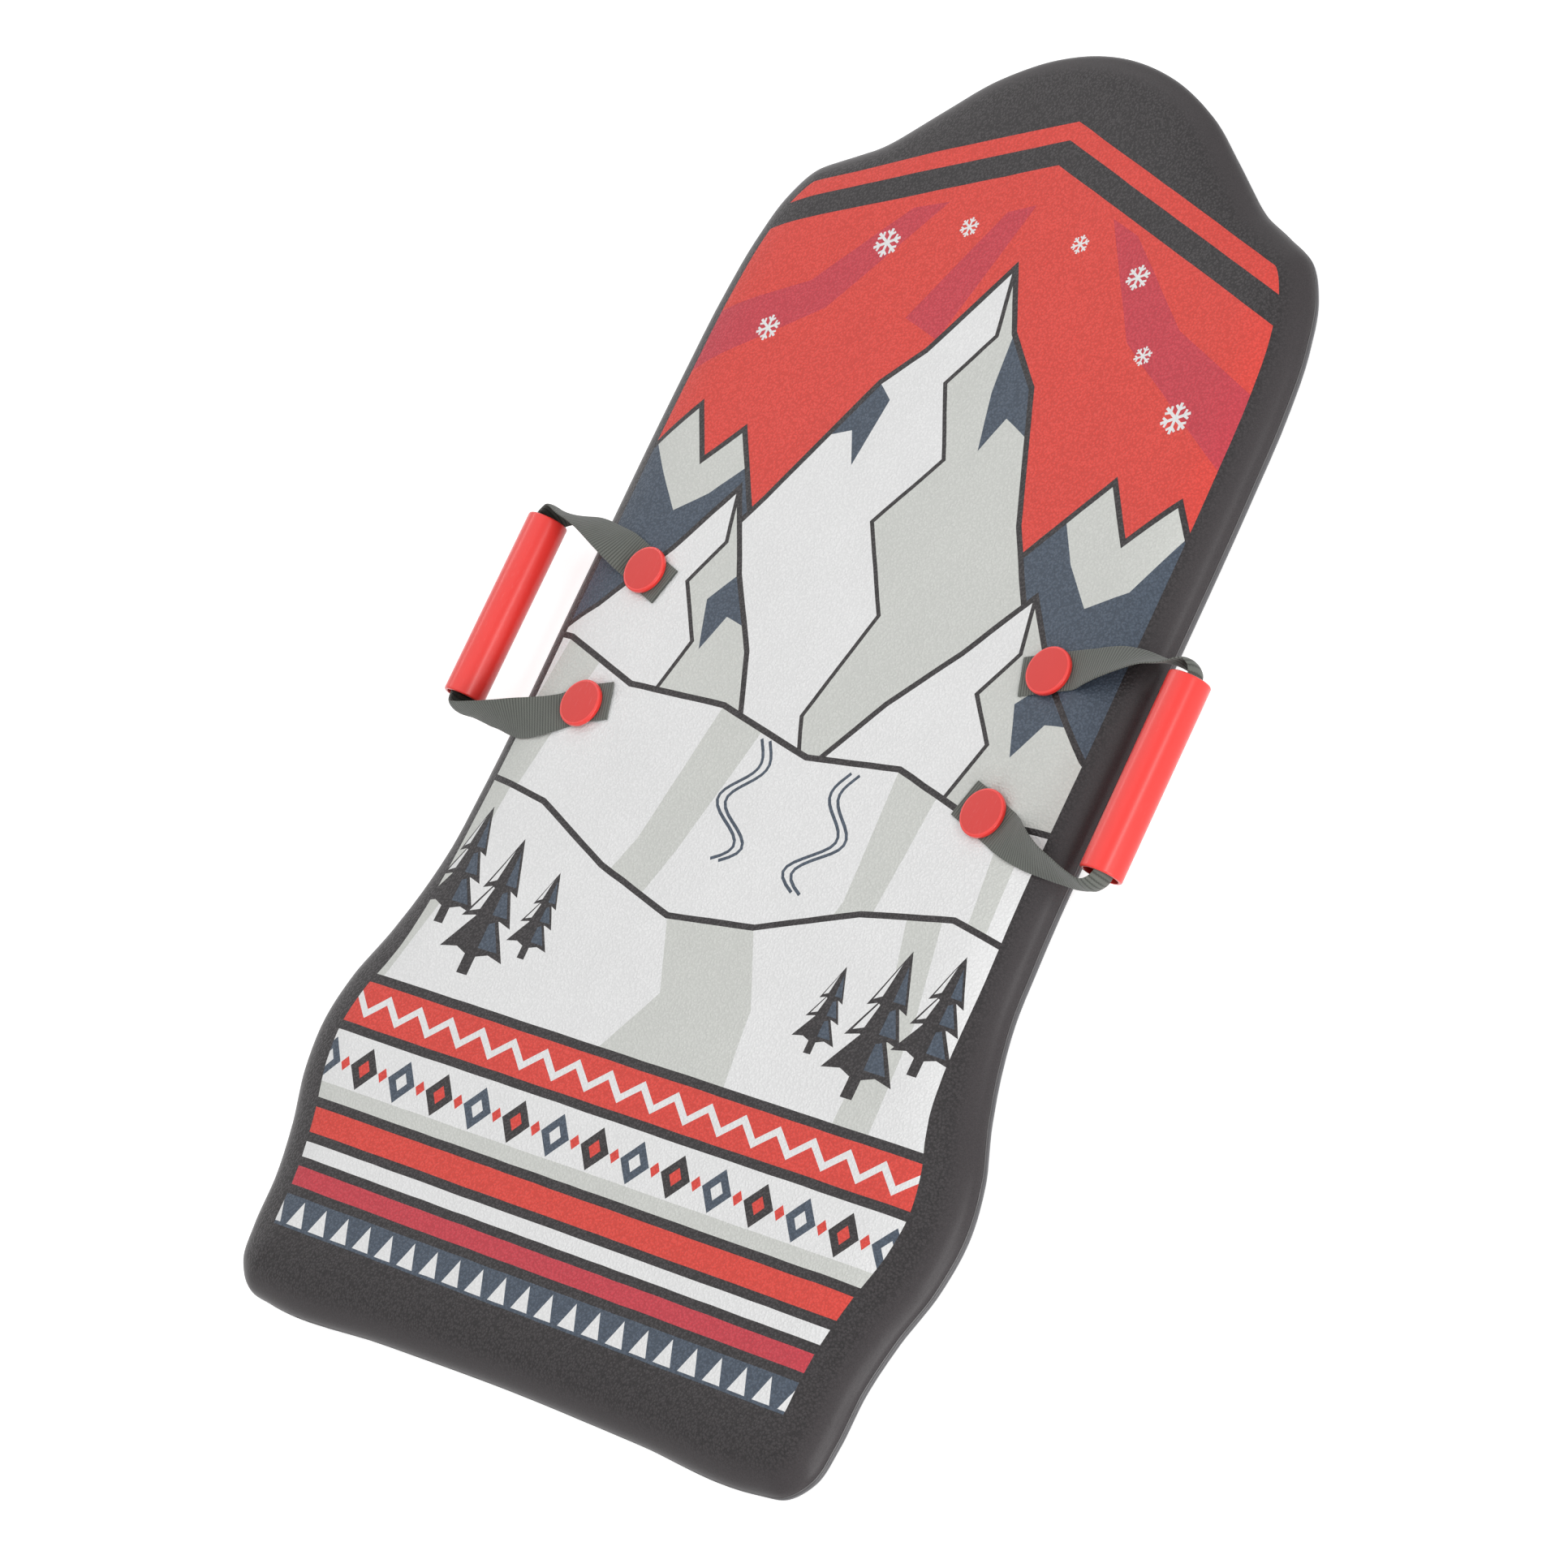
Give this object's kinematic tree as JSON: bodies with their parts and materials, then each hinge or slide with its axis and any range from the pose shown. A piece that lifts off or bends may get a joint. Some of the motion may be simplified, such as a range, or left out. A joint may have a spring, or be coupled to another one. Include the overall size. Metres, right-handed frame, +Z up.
{
  "type": "foam snow sled",
  "caption": "Flat foam snow sled with a pointed lifted nose, rolled rails and tail fins, a slick underside, and on each side a tube grip on a webbing strap held by snap rivets.",
  "frame": {"origin": "on the flat of the slick underside, under the middle of the sled's box", "axes": "+Y to the nose along the middle line, +Z up through the deck, +X to the right grip"},
  "size_m": [0.559, 0.8958, 0.0429],
  "materials": {
    "foam": "matte",
    "deck_laminate": "matte",
    "slick_sheet": "satin",
    "red_plastic": "satin",
    "webbing": "matte"
  },
  "bodies": {
    "sled": {"foam_core": "foam", "deck_skin": "deck_laminate", "slick_bottom": "slick_sheet", "rivet_head_front_left": "red_plastic", "rivet_head_front_right": "red_plastic", "rivet_head_rear_left": "red_plastic", "rivet_head_rear_right": "red_plastic", "rivet_base_front_left": "red_plastic", "rivet_base_front_right": "red_plastic", "rivet_base_rear_left": "red_plastic", "rivet_base_rear_right": "red_plastic"},
    "handle_left": {"strap_left": "webbing"},
    "handle_right": {"strap_right": "webbing"},
    "tube_left": {"grip_left": "red_plastic"},
    "tube_right": {"grip_right": "red_plastic"}
  },
  "joints": [
    {"name": "handle_left_swing", "type": "hinge", "parent": "sled", "child": "handle_left", "pos_m": [-0.187, 0.0071, 0.027], "axis": [0, 1, 0], "range_deg": [-8, 165], "deforming": ["strap_left"]},
    {"name": "handle_right_swing", "type": "hinge", "parent": "sled", "child": "handle_right", "pos_m": [0.187, 0.0071, 0.027], "axis": [0, -1, 0], "range_deg": [-8, 165], "deforming": ["strap_right"]},
    {"name": "grip_left_roll", "type": "hinge", "parent": "handle_left", "child": "tube_left", "pos_m": [-0.2668, 0.0071, 0.027], "axis": [0, 1, 0], "continuous": true},
    {"name": "grip_right_roll", "type": "hinge", "parent": "handle_right", "child": "tube_right", "pos_m": [0.2668, 0.0071, 0.027], "axis": [0, 1, 0], "continuous": true}
  ]
}
